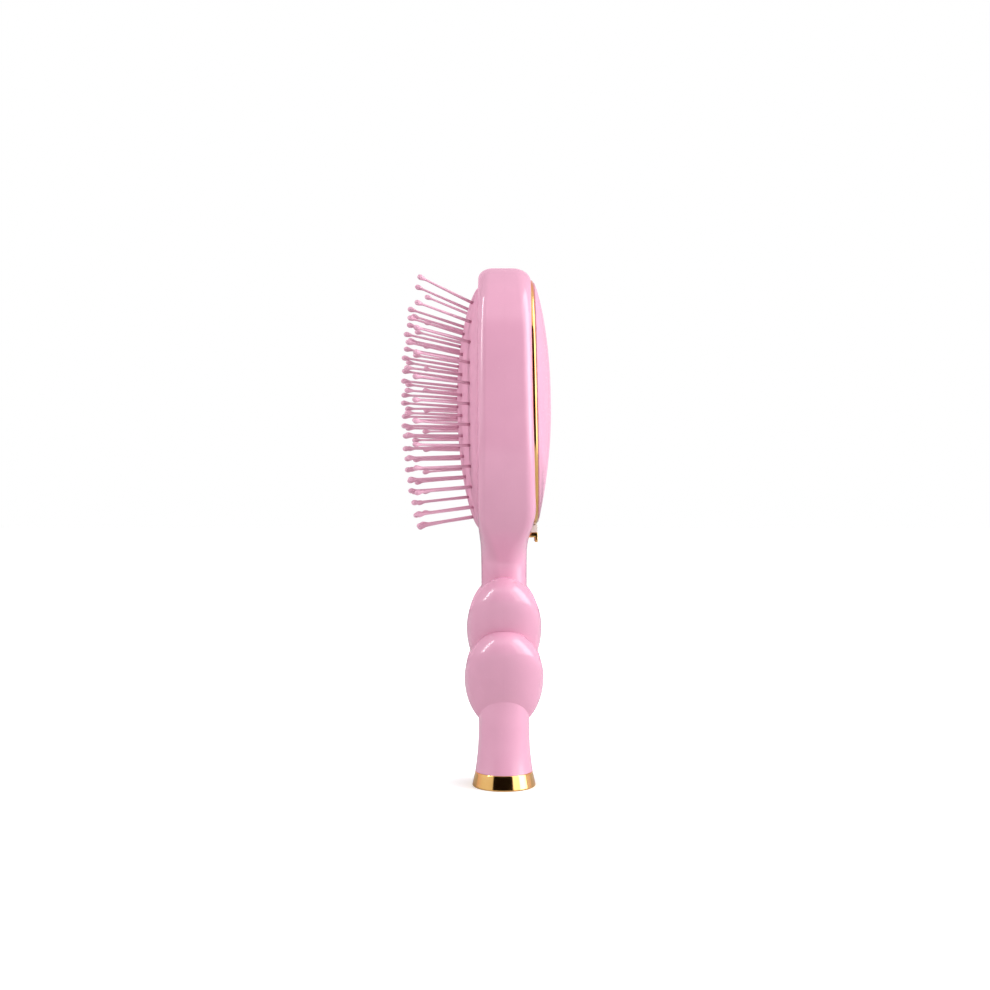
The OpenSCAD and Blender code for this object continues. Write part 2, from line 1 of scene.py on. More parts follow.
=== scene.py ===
"""The looks of a cushion hair brush that stands on its metal end cap.

Sizes are millimetres in the part's own frame: +Z up the brush, -X to the pins, +X to the
back cover. Meshes are built in millimetres and turned into metres when their object is made.
The studio round the brush is in metres.
"""

import math
import random

import bmesh
import bpy
import numpy as np
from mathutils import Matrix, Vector

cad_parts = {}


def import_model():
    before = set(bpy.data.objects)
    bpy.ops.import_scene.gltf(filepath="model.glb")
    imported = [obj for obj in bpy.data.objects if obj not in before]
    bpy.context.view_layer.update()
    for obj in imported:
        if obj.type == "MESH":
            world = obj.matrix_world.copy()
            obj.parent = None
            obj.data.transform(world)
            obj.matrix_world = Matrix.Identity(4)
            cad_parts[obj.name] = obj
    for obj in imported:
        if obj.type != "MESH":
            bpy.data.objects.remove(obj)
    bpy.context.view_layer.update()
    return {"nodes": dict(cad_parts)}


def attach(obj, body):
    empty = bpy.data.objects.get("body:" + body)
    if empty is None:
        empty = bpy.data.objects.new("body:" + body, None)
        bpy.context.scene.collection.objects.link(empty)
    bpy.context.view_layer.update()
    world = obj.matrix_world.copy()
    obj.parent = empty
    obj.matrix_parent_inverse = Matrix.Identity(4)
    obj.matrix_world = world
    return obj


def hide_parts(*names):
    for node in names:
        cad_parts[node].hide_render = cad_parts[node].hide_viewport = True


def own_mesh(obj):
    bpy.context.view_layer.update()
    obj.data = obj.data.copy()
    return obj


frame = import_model()

MM = 0.001

# Overall
HANDLE_LENGTH = 92.0
HEAD_LENGTH = 117.0
HEAD_WIDTH = 72.0
HEAD_FRONT = 10.3
FRONT_EDGE = 3.5
BACK_EDGE = 4.5
WALL = 2.2
MID_SHARE = 0.5558
BRUSH_HEIGHT = HANDLE_LENGTH + HEAD_LENGTH
HEAD_MID = HANDLE_LENGTH + HEAD_LENGTH * MID_SHARE
HEAD_UP = BRUSH_HEIGHT - HEAD_MID
HALF = HEAD_WIDTH / 2

# Neck, tail and how full the outlines are
NECK_DEPTH = 9.2
NECK_WIDTH = 8.5
NECK_EDGE = 8.0
TAIL_RADIUS = 10.3
TAIL_FLARE = 1.4
BODY_POWER = 2.7
TOP_SPREAD_SHARE = 1.15
TOP_LIFT_SHARE = 1.67
SIDE_POWER = 3.6
NECK_POWER = 1.6

# Where the neck turns into the head, for its front, its back and its rounded edges. In neck
# widths: how far below the handle's end the turn starts, and its length.
FRONT_RISE = (0.5, 1.9)
BACK_RISE = (0.24, 2.6)
EDGE_RISE = (0, 2)
NECK_TOP = HANDLE_LENGTH - NECK_WIDTH * BACK_RISE[0]

# How finely the head is drawn: points along its top, its side and the neck, how much closer
# they stand towards the neck, and steps round the edges
TOP_POINTS, SIDE_POINTS, NECK_POINTS = 49, 81, 13
SIDE_CROWDING = 1.25
EDGE_STEPS = 12

# Hearts of the handle: middle height, half thickness, half height and half width
UPPER_HEART = (HANDLE_LENGTH * 0.6924, 15.1, 21.4, 19.8)
LOWER_HEART = (HANDLE_LENGTH * 0.4728, 16.0, 21.1, 20.8)
LOBE_RADIUS = 9.1
LOBE_SHARE = 0.79
LOBE_POWER = 1.4
CLEFT_SHARE = 0.42
LOBE_BANDS, LOBE_SIDES = 72, 96
WELD_REACH = 0.001

# End cap
CAP_HEIGHT = 6.0
CAP_RADIUS = 12.9
CAP_ROUND = 0.35
CAP_FLOOR_RADIUS = 6
CAP_MOUTH_RADIUS = 8.3
CAP_TOP_ROUND = 0.25
CAP_TOP_MIDDLE = 0.08
CAP_SIDES = 160

# Tail: it stands a gap above the cap, and its foot is rounded by points in from its side and
# up from its start
TAIL_TOP = CAP_HEIGHT + (LOWER_HEART[0] - CAP_HEIGHT) * 0.92
FLARE_TOP = CAP_HEIGHT + (LOWER_HEART[0] - CAP_HEIGHT) * 0.48
TAIL_GAP = 0.06
TAIL_FOOT = ((0.15, -0.03), (0.04, 0.0))
TAIL_FOOT_RISE = 0.05
TAIL_POINTS, TAIL_SIDES = 25, 128

# Cushion and the opening that it stands in
RIM_SIDE = 5.0
RIM_TOP = 7.7
RIM_FOOT = 12.5
CUSHION_RISE = 8.7
CUSHION_BULGE = 0.7
CUSHION_POWERS = (3.0, 2.6)
CUSHION_HALF = HALF - RIM_SIDE
CUSHION_UP = HEAD_UP - RIM_TOP
CUSHION_DOWN = HEAD_MID - HANDLE_LENGTH - RIM_FOOT
CUSHION_FOOT = HEAD_MID - CUSHION_DOWN
CUSHION_TALL = CUSHION_UP + CUSHION_DOWN
CUSHION_GAP = 0.2
CUSHION_GRID = (384, 96)
FLANGE_DEPTH = WALL * 1.1
OPENING_DEPTH = WALL * 1.2
OPENING_OVERRUN = 2
OPENING_SIDES = 200
DIMPLE_DEPTH = 0.55
DIMPLE_RADIUS = 1.15

# Pins: the rows are counted in spacings from the middle row
PIN_LENGTH = 22.8
PIN_MARGIN = 5.0
OUTER_LEAN = 24.0
ROW_PITCH = CUSHION_TALL * 0.0829
ROW_MID = CUSHION_FOOT + CUSHION_TALL * 0.503
FAN_MID_SHARE = 0.367
FAN_REACH_SHARE = 0.589
FAN_SLOPE_SHARE = 0.226
FAN_CURL_SHARE = 1.25
PIN_GROW_SHARE = 0.06
WIDE_ROW_SHARES = (-1, -1 / 3, 1 / 3, 1)
NARROW_ROW_SHARES = (-2 / 3, 0, 2 / 3)
TOP_ROW_SHARES = (-1, 0, 1)
ROW_STEPS = [5] + [4 - k / 2 for k in range(20)]

# One pin: radii of its shaft at the root and at the neck, heights near the root, and its tip,
# which swells from the neck to a ball whose end is drawn at these angles
ROOT_RADIUS, NECK_RADIUS = 0.60, 0.44
ROOT_HEIGHTS = (-0.8, 0, 0.35, 0.9)
SHAFT_START = 2.2
TIP_LENGTH = 4.2
SWELL_POWER = 1.3
BALL_RADIUS = 1.05
BALL_END = 1.25
BALL_ANGLES = (18, 36, 54, 70, 82)
PIN_SIDES = 20
PIN_BENDS = (0.1, 0.75)

# Painted shade near a pin's root, as weight, level and reach: a narrow band and a long fade
PAINTED_ROOT_SHADES = ((0.5, 1.3, 0.7), (0.25, 1, 6))
PIN_SEED = 7

# Ring and cover
RING_FACE = 12.4
RING_LEAN = math.radians(1.2)
RING_STAND = 1.25
RING_SINK = 0.4
RING_THICK = 1.7
RING_DEPTH = 3.6
RING_WALL = 1.2
RING_LIP = 2.2
RING_ROUNDS = (1.2, 0.45, 0.1, 0.1, 0.1, 0.1)
RING_POWERS = (2.8, 2.8)
RING_HALF = HALF - 2.5
RING_UP = HEAD_UP - 4.7
RING_DOWN = HEAD_MID - HANDLE_LENGTH - 14
RING_SIDES = 320
CORNER_POINTS = 6
COVER_INSET = 1.0
COVER_RISE = 6.2
COVER_BULGES = (1.0, 0.75, 0.8)
COVER_EDGE = RING_THICK * 0.2
COVER_DEPTH = RING_THICK * 1.1
COVER_EDGE_SCALE = (0.999, 0.999, 1)
COVER_UNDER_SCALE = (0.995, 0.995, 1)
COVER_BANDS = 72
BAND_CROWDING = 1.7

# The tab at the ring's foot: a pale insert, a block and the lip that hooks out of it
TAB_HALF = 5.0
TAB_INSERT = 3.2
TAB_BLOCK = 2.0
TAB_LIP = 1.9
TAB_LIP_LAP = 1
TAB_LIP_DEPTH = RING_THICK * 0.7
TAB_DEPTH = 3.8
TAB_GAP = 0.05
INSERT_ROUND, BLOCK_ROUND, TAB_LIP_ROUND = 0.2, 0.25, 0.35

# The hairline between the two halves of the shell, and the softness of its edges
SEAM_GAP = 0.004
SEAM_ROUND = 0.015
LIP_ROUND = 0.4

# What counts as flat, in metres, and as a sharp edge, in radians
FLAT_REACH = 1e-6
SHARP_EDGE = 1

# The photograph's camera: its place, and how many pixels one radian takes at the middle
CAMERA_PLACE = (-3.66, -520.0, 117.9)
FOCAL_PIXELS = 1278.0
PHOTO_PIXELS = 990.0
SENSOR_WIDTH = 36.0
CLIP_START, CLIP_END = 0.01, 50

# Which values of a noise are spread over a material's range
NOISE_LOW, NOISE_HIGH = 0.3, 0.7


def camera():
    data = bpy.data.cameras.new("camera")
    data.sensor_width = SENSOR_WIDTH
    data.lens = SENSOR_WIDTH * FOCAL_PIXELS / PHOTO_PIXELS
    data.clip_start = CLIP_START
    data.clip_end = CLIP_END
    eye = bpy.data.objects.new("camera", data)
    eye.location = Vector(CAMERA_PLACE) * MM
    eye.rotation_euler = (math.pi / 2, 0, 0)
    bpy.context.scene.collection.objects.link(eye)
    bpy.context.scene.camera = eye


# Shape helpers


def smooth(t):
    t = np.clip(t, 0, 1)
    return t * t * (3 - 2 * t)


def mix(a, b, t):
    return a + (b - a) * t


def signed_power(v, p):
    return np.sign(v) * np.abs(v) ** p


def outline(w, plus, minus, powers, count):
    """A closed outline as [along, across].

    w is its half width, plus and minus its reach along, powers the fullness of its two ends.
    """
    a = np.linspace(0, 2 * math.pi, count, endpoint=False)
    c, s = np.cos(a), np.sin(a)
    p = 2 / np.where(c < 0, powers[1], powers[0])
    along = np.where(c < 0, minus, plus) * signed_power(c, p)
    return np.stack([along, w * signed_power(s, p)], axis=1)


def at_height(flat, height):
    """Points of an outline, all at one height."""
    return np.column_stack([flat, np.full(len(flat), height)])


def front_frame(points):
    """From along, across, out of the cushion's frame to the part's frame."""
    along, across, out = np.moveaxis(np.asarray(points, float), -1, 0)
    return np.stack([-out, across, HEAD_MID + along], axis=-1)


def back_frame(points):
    """From down, across, out of the leaning ring's frame to the part's frame."""
    down, across, out = np.moveaxis(np.asarray(points, float), -1, 0)
    c, s = math.cos(RING_LEAN), math.sin(RING_LEAN)
    x = RING_FACE + out * c + down * s
    z = HEAD_MID - down * c + out * s
    return np.stack([x, across, z], axis=-1)


def add_object(name, mesh):
    made = bpy.data.objects.new(name, mesh)
    bpy.context.scene.collection.objects.link(made)
    return made


def new_object(name, points, faces):
    mesh = bpy.data.meshes.new(name)
    mesh.from_pydata([tuple(p) for p in np.asarray(points, float) * MM], [], faces)
    mesh.update()
    return add_object(name, mesh)


def ring_faces(rings, count, loop=False):
    """Quads between rings of count points each. A loop also joins the last ring to the first."""
    faces = []
    for j in range(rings if loop else rings - 1):
        a, b = j * count, (j + 1) % rings * count
        for i in range(count):
            k = (i + 1) % count
            faces.append((a + i, a + k, b + k, b + i))
    return faces


def skin(name, rings):
    """A closed skin over rings of points, its ends closed by a fan round their middle."""
    rings = np.asarray(rings, float)
    k, n = rings.shape[:2]
    points = [*rings.reshape(-1, 3), rings[0].mean(axis=0), rings[-1].mean(axis=0)]
    first, last = k * n, (k - 1) * n
    faces = ring_faces(k, n)
    faces += [(first, (i + 1) % n, i) for i in range(n)]
    faces += [(first + 1, last + i, last + (i + 1) % n) for i in range(n)]
    return new_object(name, points, faces)


def edit(made, change):
    """Runs change on the object's mesh, then turns its faces outward."""
    bm = bmesh.new()
    bm.from_mesh(made.data)
    change(bm)
    bmesh.ops.recalc_face_normals(bm, faces=bm.faces)
    bm.to_mesh(made.data)
    bm.free()
    made.data.update()
    return made


def shade(made, angle=35):
    """Smooth shading with a crease wherever two faces meet at more than angle."""

    def crease(bm):
        for f in bm.faces:
            f.smooth = True
        for e in bm.edges:
            e.smooth = len(e.link_faces) == 2 and e.calc_face_angle(0) < math.radians(angle)

    return edit(made, crease)


def join(name, parts):
    """One object from several, which keep their own faces."""
    bm = bmesh.new()
    for part in parts:
        bm.from_mesh(part.data)
    mesh = bpy.data.meshes.new(name)
    bm.to_mesh(mesh)
    bm.free()
    for part in parts:
        bpy.data.objects.remove(part)
    return add_object(name, mesh)


def baked(made, kind, **settings):
    """Applies one modifier to the object's mesh."""
    modifier = made.modifiers.new(kind.lower(), kind)
    for key, value in settings.items():
        setattr(modifier, key, value)
    bpy.context.view_layer.update()
    evaluated = made.evaluated_get(bpy.context.evaluated_depsgraph_get())
    mesh = bpy.data.meshes.new_from_object(evaluated)
    made.modifiers.clear()
    made.data = mesh
    return made


def cut_away(bm, place, normal):
    """Takes away what lies beyond a plane, and returns the edges of the cut."""
    found = bmesh.ops.bisect_plane(
        bm,
        geom=bm.verts[:] + bm.edges[:] + bm.faces[:],
        plane_co=place,
        plane_no=normal,
        clear_outer=True,
    )
    return [g for g in found["geom_cut"] if isinstance(g, bmesh.types.BMEdge)]


def soften(bm, edges, reach, segments, profile=0.5):
    """Bevels the edges. A profile of 0.5 is round, and 0 leaves a groove."""
    bmesh.ops.bevel(
        bm, geom=edges, offset=reach * MM, segments=segments, profile=profile, affect="EDGES"
    )


def half_of(made, side):
    """Keeps a closed mesh on one side of the seam, closed there and with a softened edge."""

    def halve(bm):
        edges = cut_away(bm, (side * SEAM_GAP / 2 * MM, 0, 0), (-side, 0, 0))
        if edges:
            bmesh.ops.contextual_create(bm, geom=edges)
            soften(bm, edges, SEAM_ROUND, segments=2, profile=0)

    return edit(made, halve)


# The shell's shape


def neck_rise(z, start, length):
    """How far the neck has turned into the head at height z, from 0 to 1."""
    return smooth((z - HANDLE_LENGTH + NECK_WIDTH * start) / (NECK_WIDTH * length))


def body_half(z):
    t = np.clip((z - NECK_TOP) / (HEAD_MID - NECK_TOP), 0, 1)
    return NECK_WIDTH + (HALF - NECK_WIDTH) * (1 - (1 - t) ** SIDE_POWER) ** NECK_POWER


def body_front(z):
    return mix(NECK_DEPTH, HEAD_FRONT, neck_rise(z, *FRONT_RISE))


def ring_plane(z):
    return RING_FACE - math.tan(RING_LEAN) * (z - HEAD_MID)


def body_back(z):
    back = ring_plane(z) - RING_STAND + RING_SINK * ((z - HEAD_MID) / RING_UP) ** 2
    return mix(NECK_DEPTH, back, neck_rise(z, *BACK_RISE))


def body_edge():
    """The outline of head and neck, from the top down the left side: points and normals."""
    a = np.radians(np.linspace(0, 90, TOP_POINTS))
    top_y = -HALF * np.sin(a) ** (2 / BODY_POWER)
    top_z = HEAD_MID + HEAD_UP * np.abs(np.cos(a)) ** (2 / BODY_POWER)
    t = np.linspace(0, 1, SIDE_POINTS)[1:]
    side_z = mix(HEAD_MID, NECK_TOP, t * (SIDE_CROWDING - (SIDE_CROWDING - 1) * t))
    neck_z = np.linspace(NECK_TOP, UPPER_HEART[0], NECK_POINTS)[1:]
    z = np.concatenate([top_z, side_z, neck_z])
    y = np.concatenate([top_y, -body_half(side_z), -body_half(neck_z)])
    points = np.stack([y, z], axis=1)
    along = np.gradient(points, axis=0)
    normals = np.stack([along[:, 1], -along[:, 0]], axis=1)
    normals /= np.linalg.norm(normals, axis=1)[:, None]
    normals[0], normals[-1] = (0, 1), (-1, 0)
    return points, normals


def slab(name):
    """Head and neck as one slab with rounded edges."""
    points, normals = body_edge()
    z = points[:, 1]
    blend = neck_rise(z, *EDGE_RISE)
    top = np.maximum(0, normals[:, 1]) ** 2
    rings = []
    for j in range(2 * EDGE_STEPS + 2):
        front = j <= EDGE_STEPS
        a = math.pi / 2 * (j if front else 2 * EDGE_STEPS + 1 - j) / EDGE_STEPS
        r = mix(NECK_EDGE, FRONT_EDGE if front else BACK_EDGE, blend)
        inward = r * mix(1, TOP_SPREAD_SHARE, top) * (1 - math.sin(a))
        at = points - normals * inward[:, None]
        lift = r * mix(1, TOP_LIFT_SHARE, top) * (1 - math.cos(a))
        x = -body_front(z) + lift if front else body_back(z) - lift
        left = np.stack([x, np.minimum(0, at[:, 0]), at[:, 1]], axis=1)
        right = left[:0:-1] * (1, -1, 1)
        rings.append(np.concatenate([left, right]))
    rings = np.array(rings)
    k, m = rings.shape[:2]
    last = len(points) - 1
    faces = ring_faces(k, m)
    back = (k - 1) * m
    for i in range(1, last):
        faces.append((i, i + 1, m - i - 1, m - i))
        faces.append((back + i, back + m - i, back + m - i - 1, back + i + 1))
    faces += [(0, 1, m - 1), (back, back + m - 1, back + 1)]
    return new_object(name, rings.reshape(-1, 3), faces)


def lobe(name, heart, side):
    """One lobe of a puffed heart: ellipses stacked along z, drawn in to the point below.

    It is cut where it meets its mirror image, so the two lobes weld there.
    """
    middle, depth, rise, width = heart
    g = np.linspace(0, 2 * math.pi, LOBE_SIDES, endpoint=False)
    rings = []
    for t in np.linspace(-math.pi / 2, math.pi / 2, LOBE_BANDS + 1)[1:-1]:
        s = (1 + math.sin(t)) / 2
        u = min(1, s / LOBE_SHARE)
        v = max(0, (s - LOBE_SHARE) / (1 - LOBE_SHARE))
        out = width * (1 - (1 - u) ** LOBE_POWER)
        parting = float(smooth((u - CLEFT_SHARE) / (1 - CLEFT_SHARE)))
        b = out * mix(1, LOBE_RADIUS / width, parting) * math.sqrt(1 - v * v)
        x = depth * math.cos(t) * np.cos(g)
        y = side * (width - LOBE_RADIUS if s > LOBE_SHARE else out - b) + b * np.sin(g)
        z = np.full(LOBE_SIDES, middle + rise * math.sin(t))
        rings.append(np.stack([x, y, z], axis=1))
    return edit(skin(name, rings), lambda bm: cut_away(bm, (0, 0, 0), (0, -side, 0)))


def puffed_heart(name, heart):
    def weld(bm):
        bmesh.ops.remove_doubles(bm, verts=bm.verts[:], dist=WELD_REACH * MM)

    return edit(join(name, [lobe(name, heart, side) for side in (-1, 1)]), weld)


def lathe(name, profile, sides):
    """A profile of [radius, height] turned round the upright axis, from its foot to its top."""
    g = np.linspace(0, 2 * math.pi, sides, endpoint=False)
    turned = np.stack([np.cos(g), np.sin(g)], axis=1)
    return skin(name, [at_height(turned * r, z) for r, z in profile])


def tail(name):
    t = np.linspace(0, 1, TAIL_POINTS)
    radii = TAIL_RADIUS + TAIL_FLARE * (1 - t) ** 2
    heights = mix(CAP_HEIGHT + TAIL_GAP, FLARE_TOP, t)
    foot = [(radii[0] - inward, heights[0] + up) for inward, up in TAIL_FOOT]
    side = list(zip(radii, heights + TAIL_FOOT_RISE))
    return lathe(name, foot + side + [(TAIL_RADIUS, TAIL_TOP)], TAIL_SIDES)


def shell_half(side):
    """Slab, tail and hearts on one side of the seam."""
    parts = [half_of(slab("slab"), side), half_of(tail("tail"), side)]
    for heart in (UPPER_HEART, LOWER_HEART):
        parts.append(half_of(puffed_heart("heart", heart), side))
    return parts


def cushion_prism(low, high):
    edge = outline(CUSHION_HALF, CUSHION_UP, CUSHION_DOWN, CUSHION_POWERS, OPENING_SIDES)
    rings = [front_frame(at_height(edge, h)) for h in (low, high)]
    return edit(skin("prism", rings), lambda bm: None)


def front_shell():
    """The front half, with the cushion's opening and a soft lip round it."""
    parts = shell_half(-1)
    cutter = cushion_prism(HEAD_FRONT - OPENING_DEPTH, HEAD_FRONT + OPENING_OVERRUN)
    head = baked(parts[0], "BOOLEAN", object=cutter, operation="DIFFERENCE", solver="EXACT")
    bpy.data.objects.remove(cutter)

    def soften_lip(bm):
        lip = []
        for e in bm.edges:
            flat = all(abs(v.co.x + HEAD_FRONT * MM) < FLAT_REACH for v in e.verts)
            if flat and len(e.link_faces) == 2 and e.calc_face_angle(0) > SHARP_EDGE:
                lip.append(e)
        soften(bm, lip, LIP_ROUND, segments=4)

    parts[0] = edit(head, soften_lip)
    return shade(join("front_shell", parts))


def back_shell():
    return shade(join("back_shell", shell_half(1)))


# Domes


def dome_rings(w, plus, minus, powers, rise, edge, bulges, grid):
    """Rings of a dome from its edge to its top, in its own frame."""
    count, bands = grid
    shares = 1 - np.linspace(0, 1, bands + 1)[:-1] ** BAND_CROWDING
    rim = outline(w, plus, minus, powers, count)
    a = np.linspace(0, 2 * math.pi, count, endpoint=False)
    end = np.where(np.cos(a) > 0, bulges[0], bulges[2])
    b = mix(bulges[1], end, np.cos(a) ** 2)
    return [np.column_stack([rim * f, edge + rise * (1 - f * f) ** b]) for f in shares]


def cushion_end(z):
    """How far the cushion reaches and how full it is, above or below its middle."""
    if z > HEAD_MID:
        return CUSHION_UP, CUSHION_POWERS[0]
    return CUSHION_DOWN, CUSHION_POWERS[1]


def dome_height(y, z):
    reach, n = cushion_end(z)
    share = (abs(y / CUSHION_HALF) ** n + abs((z - HEAD_MID) / reach) ** n) ** (2 / n)
    return CUSHION_RISE * max(0, 1 - share) ** CUSHION_BULGE


def cushion_half_at(z):
    reach, n = cushion_end(z)
    return CUSHION_HALF * (1 - abs((z - HEAD_MID) / reach) ** n) ** (1 / n)


def row_shares(step):
    if step == ROW_STEPS[0]:
        return TOP_ROW_SHARES
    return WIDE_ROW_SHARES if round(step * 2) % 2 == 0 else NARROW_ROW_SHARES


def fan_place(step):
    """A row's place in the fan, from below zero at the foot to one at the top."""
    z = ROW_MID + step * ROW_PITCH
    return (z - CUSHION_FOOT - FAN_MID_SHARE * CUSHION_TALL) / (FAN_REACH_SHARE * CUSHION_TALL)


def pin_tall(step):
    return PIN_LENGTH * (1 + PIN_GROW_SHARE * max(0, fan_place(step)) ** 3)


def pin_place(step, share):
    """A pin's point on the rubber and its direction."""
    z = ROW_MID + step * ROW_PITCH
    y = share * (cushion_half_at(z) - PIN_MARGIN)
    u = fan_place(step)
    lean = math.tan(math.radians(OUTER_LEAN * y / (CUSHION_HALF - PIN_MARGIN)))
    slope = FAN_SLOPE_SHARE * (u + FAN_CURL_SHARE * u**3)
    place = Vector((-HEAD_FRONT - dome_height(y, z), y, z))
    return place, Vector((-1, lean, slope)).normalized()


def cushion():
    """The rubber dome, drawn in a little round each pin."""
    rings = dome_rings(
        CUSHION_HALF - CUSHION_GAP,
        CUSHION_UP - CUSHION_GAP,
        CUSHION_DOWN - CUSHION_GAP,
        CUSHION_POWERS,
        CUSHION_RISE,
        HEAD_FRONT,
        (CUSHION_BULGE,) * 3,
        CUSHION_GRID,
    )
    foot = rings[0] - (0, 0, FLANGE_DEPTH)
    points = front_frame(np.array([foot] + rings))
    for step in ROW_STEPS:
        for share in row_shares(step):
            place, _ = pin_place(step, share)
            away = np.linalg.norm(points - np.array(place), axis=-1)
            points[..., 0] += DIMPLE_DEPTH * np.exp(-((away / DIMPLE_RADIUS) ** 2))
    return shade(skin("cushion_rubber", points), angle=50)


def cover():
    rings = dome_rings(
        RING_HALF - COVER_INSET,
        RING_DOWN - COVER_INSET,
        RING_UP - COVER_INSET,
        RING_POWERS,
        COVER_RISE,
        COVER_EDGE,
        COVER_BULGES,
        (RING_SIDES, COVER_BANDS),
    )
    under = rings[0] * COVER_UNDER_SCALE - (0, 0, COVER_DEPTH)
    rings[0] = rings[0] * COVER_EDGE_SCALE
    return shade(skin("cover_shell", back_frame(np.array([under] + rings))), angle=50)


def ring_section():
    """The ring's section as [grow, height]: a plate with a wall below it, corners softened."""
    inner = -RING_LIP - RING_WALL
    corners = [
        (0, 0),
        (0, -RING_THICK),
        (-RING_LIP, -RING_THICK),
        (-RING_LIP, -RING_DEPTH),
        (inner, -RING_DEPTH),
        (inner, 0),
    ]
    section = []
    for i, corner in enumerate(corners):
        here = Vector(corner)
        before = (Vector(corners[i - 1]) - here).normalized() * RING_ROUNDS[i]
        after = (Vector(corners[(i + 1) % len(corners)]) - here).normalized() * RING_ROUNDS[i]
        for t in np.linspace(0, 1, CORNER_POINTS):
            section.append(here + before * (1 - t) ** 2 + after * t**2)
    return section


def box(name, low, high, rounding):
    """A box in the ring's frame with rounded edges."""
    corners = [[(low, high)[i >> k & 1][k] for k in range(3)] for i in range(8)]
    faces = [
        (0, 2, 3, 1),
        (4, 5, 7, 6),
        (0, 1, 5, 4),
        (2, 6, 7, 3),
        (0, 4, 6, 2),
        (1, 3, 7, 5),
    ]
    made = new_object(name, back_frame(corners), faces)
    return edit(made, lambda bm: soften(bm, bm.edges[:], rounding, segments=3))


def trim_ring():
    rings = []
    for grow, height in ring_section():
        edge = outline(
            RING_HALF + grow, RING_DOWN + grow, RING_UP + grow, RING_POWERS, RING_SIDES
        )
        rings.append(back_frame(at_height(edge, height)))
    rings = np.array(rings)
    k, n = rings.shape[:2]
    hoop = new_object("hoop", rings.reshape(-1, 3), ring_faces(k, n, loop=True))
    end = RING_DOWN + TAB_INSERT + TAB_BLOCK
    block = box(
        "block", (end - TAB_BLOCK, -TAB_HALF, -TAB_DEPTH), (end, TAB_HALF, 0), BLOCK_ROUND
    )
    lip_low = (end - TAB_LIP_LAP, -TAB_HALF, -TAB_LIP_DEPTH)
    lip = box("lip", lip_low, (end + TAB_LIP, TAB_HALF, 0), TAB_LIP_ROUND)
    return shade(join("ring_metal", [hoop, block, lip]), angle=40)


def tab_insert():
    low = (RING_DOWN + TAB_GAP, -TAB_HALF, -TAB_DEPTH)
    high = (RING_DOWN + TAB_INSERT - TAB_GAP, TAB_HALF, -TAB_GAP)
    return shade(box("tab_piece", low, high, INSERT_ROUND), angle=40)


def end_cap():
    top_radius = TAIL_RADIUS + TAIL_FLARE
    profile = [(CAP_FLOOR_RADIUS, 0)]
    for a in np.linspace(0, math.pi / 2, 9):
        radius = CAP_RADIUS - CAP_ROUND * (1 - math.sin(a))
        profile.append((radius, CAP_ROUND * (1 - math.cos(a))))
    for t in np.linspace(0, 1, 13)[1:]:
        height = mix(CAP_ROUND, CAP_HEIGHT - CAP_TOP_ROUND, t)
        profile.append((mix(CAP_RADIUS, top_radius, t), height))
    profile += [
        (top_radius - CAP_TOP_MIDDLE, CAP_HEIGHT - CAP_TOP_MIDDLE),
        (top_radius - CAP_TOP_ROUND, CAP_HEIGHT),
        (CAP_MOUTH_RADIUS, CAP_HEIGHT),
    ]
    return shade(lathe("cap_metal", profile, CAP_SIDES), angle=50)


# Pins


def pin_profile(tall):
    """A pin's [height, radius]: a tapering shaft, then a long round tip."""
    neck = tall - TIP_LENGTH
    middle = tall - BALL_END
    profile = []
    for h in (*ROOT_HEIGHTS, *np.linspace(SHAFT_START, neck, 8)):
        profile.append((h, mix(ROOT_RADIUS, NECK_RADIUS, smooth(h / neck) if h > 0 else 0)))
    for t in np.linspace(0, 1, 9)[1:]:
        radius = mix(NECK_RADIUS, BALL_RADIUS, smooth(t) ** SWELL_POWER)
        profile.append((mix(neck, middle, t), radius))
    for a in np.radians(BALL_ANGLES):
        profile.append((middle + BALL_END * math.sin(a), BALL_RADIUS * math.cos(a)))
    return np.array(profile, float)


def painted_root_shade(h):
    """How much painted shade a pin has at height h above the rubber."""
    shades = [w * min(1, max(0, level - h / reach)) for w, level, reach in PAINTED_ROOT_SHADES]
    return sum(shades)


def pin_row(index, step, chance):
    """The pins of one row. Each has its own slight bend, as moulded nylon does."""
    tall = pin_tall(step)
    profile = pin_profile(tall)
    g = np.linspace(0, 2 * math.pi, PIN_SIDES, endpoint=False)
    parts, painted_shade_levels = [], []
    for share in row_shares(step):
        place, direction = pin_place(step, share)
        side = direction.orthogonal().normalized()
        up = direction.cross(side)
        turn = chance.uniform(0, 2 * math.pi)
        bend = chance.uniform(*PIN_BENDS)
        rings = []
        for h, r in profile:
            lift = bend * (max(0, h) / tall) ** 2
            centre = place + direction * h + (side * math.cos(turn) + up * math.sin(turn)) * lift
            round_points = np.outer(np.cos(g) * r, side) + np.outer(np.sin(g) * r, up)
            rings.append(np.array(centre) + round_points)
        parts.append(skin("pin", rings))
        # Painted shade for each point: the middle at the root is fully shaded, the middle at the
        # tip not at all
        painted_shade_levels += [painted_root_shade(h) for h, _ in profile for _ in range(PIN_SIDES)] + [1, 0]
    made = shade(join(f"pins_of_row_{index:02d}", parts), angle=60)
    painted_shade_attribute = made.data.attributes.new("root", "FLOAT", "POINT")
    painted_shade_attribute.data.foreach_set("value", np.array(painted_shade_levels, np.float32))
    return made


# Materials


def material(name, colour, roughness, metallic=0, coat=0, coat_roughness=0.1, specular=0.5):
    made = bpy.data.materials.new(name)
    made.use_nodes = True
    shader = made.node_tree.nodes["Principled BSDF"]
    shader.inputs["Base Color"].default_value = (*colour, 1)
    shader.inputs["Roughness"].default_value = roughness
    shader.inputs["Metallic"].default_value = metallic
    shader.inputs["Coat Weight"].default_value = coat
    shader.inputs["Coat Roughness"].default_value = coat_roughness
    shader.inputs["Specular IOR Level"].default_value = specular
    return made


def linear(r, g, b):
    """A colour as it is seen, from 0 to 255, made linear."""
    return tuple(((c / 255 + 0.055) / 1.055) ** 2.4 for c in (r, g, b))


